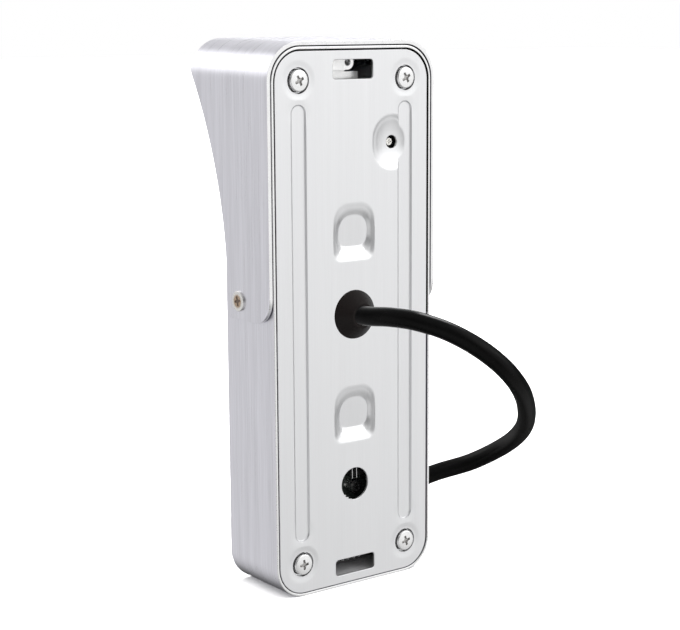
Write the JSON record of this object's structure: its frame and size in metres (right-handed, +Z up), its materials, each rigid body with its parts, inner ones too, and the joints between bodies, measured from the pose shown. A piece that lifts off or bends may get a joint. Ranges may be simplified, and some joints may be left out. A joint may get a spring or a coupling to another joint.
{
  "type": "video doorbell",
  "caption": "Outdoor video doorbell station: slim brushed-metal case, curved rain hood, pressed back plate and a short cable with a plug.",
  "frame": {"origin": "centre of the station's own footprint box, without the cable and its plug, on the surface it stands on", "axes": "+Z up along the case, -Y out of the front face with the call button, +Y out of the back plate, +X to the left as seen from behind"},
  "size_m": [0.0755, 0.0862, 0.1307],
  "materials": {
    "housing_aluminium": "satin, brushed lengthways",
    "hood_aluminium": "satin, brushed lengthways, bright cut edges",
    "plate_steel": "satin, lightly brushed, pressed",
    "screw_nickel": "polished nickel plate",
    "hood_screw_steel": "slightly bronzed",
    "seal_rubber": "matte",
    "grommet_rubber": "satin black",
    "cable_jacket": "semi-gloss black",
    "plug_plastic": "moulded black",
    "contact_brass": "gold plated",
    "window_acrylic": "polished dark tinted",
    "black_plastic": "moulded black",
    "lens_glass": "coated",
    "sensor_cover": "polished",
    "circuit_board": "black solder mask",
    "spacer_brass": "turned",
    "lamp_resin": "dark violet resin",
    "sensor_ceramic": "glazed",
    "bracket_steel": "bright zinc plate",
    "ivory_nylon": "moulded natural",
    "grille_cloth": "fine mesh",
    "basket_steel": "zinc plate",
    "cone_paper": "pressed paper",
    "magnet_ferrite": "nickel plate",
    "capsule_aluminium": "satin",
    "button_metal": "satin, spun",
    "ring_diffuser": "translucent",
    "spring_steel": "bright",
    "switch_plunger_plastic": "moulded",
    "led_body": "moulded with yellow phosphor",
    "chip_resin": "moulded",
    "capacitor_can": "bright with printed band",
    "wire_insulation": "smooth",
    "trimmer_case": "moulded black",
    "trimmer_metal": "plated"
  },
  "bodies": {
    "station": {"front_housing": "housing_aluminium", "rain_hood": "hood_aluminium", "hood_screws": "hood_screw_steel", "back_plate": "plate_steel", "back_gasket": "seal_rubber", "back_plate_screws": "screw_nickel", "cable_grommet": "grommet_rubber", "cable": "cable_jacket", "cable_plug": "plug_plastic", "plug_contacts": "contact_brass", "camera_window": "window_acrylic", "window_seal": "seal_rubber", "lens_barrel": "black_plastic", "lens_glass": "lens_glass", "lens_holder": "black_plastic", "image_sensor": "sensor_cover", "camera_board": "circuit_board", "board_spacers": "spacer_brass", "infrared_board": "circuit_board", "infrared_lamps": "lamp_resin", "light_sensor": "sensor_ceramic", "camera_bracket": "bracket_steel", "bracket_screws": "screw_nickel", "board_connector": "ivory_nylon", "speaker_mesh": "grille_cloth", "speaker_basket": "basket_steel", "speaker_surround": "seal_rubber", "speaker_magnet": "magnet_ferrite", "microphone_boot": "seal_rubber", "microphone": "capsule_aluminium", "button_light_ring": "ring_diffuser", "button_spring": "spring_steel", "switch_body": "black_plastic", "button_board": "circuit_board", "button_board_screws": "screw_nickel", "button_leds": "led_body", "main_board": "circuit_board", "main_board_screws": "screw_nickel", "board_chips": "chip_resin", "board_capacitors": "capacitor_can", "cable_socket": "ivory_nylon", "cable_socket_plug": "ivory_nylon", "inner_wires": "wire_insulation", "trimmer_body": "trimmer_case"},
    "button": {"call_button": "button_metal"},
    "plunger": {"switch_plunger": "switch_plunger_plastic"},
    "trimmer": {"trimmer_rotor": "trimmer_metal"},
    "cone": {"speaker_cone": "cone_paper"}
  },
  "joints": [
    {"name": "button_press", "type": "slide", "parent": "station", "child": "button", "axis": [0, 1, 0], "range_m": [0, 0.0006], "stiffness_N_per_m": 800, "springref_m": -0.0006, "deforming": ["button_spring"]},
    {"name": "plunger_press", "type": "slide", "parent": "station", "child": "plunger", "axis": [0, 1, 0], "range_m": [0, 0.0006]},
    {"name": "trimmer_turn", "type": "hinge", "parent": "station", "child": "trimmer", "pos_m": [-0.012, 0.0111, 0.1063], "axis": [0, 1, 0], "range_deg": [-135, 135]},
    {"name": "cone_move", "type": "slide", "parent": "station", "child": "cone", "axis": [0, 1, 0], "range_m": [-0.0003, 0.0003], "stiffness_N_per_m": 300}
  ],
  "couplings": [
    {"joint": "plunger_press", "follows": "button_press", "ratio": 1}
  ]
}
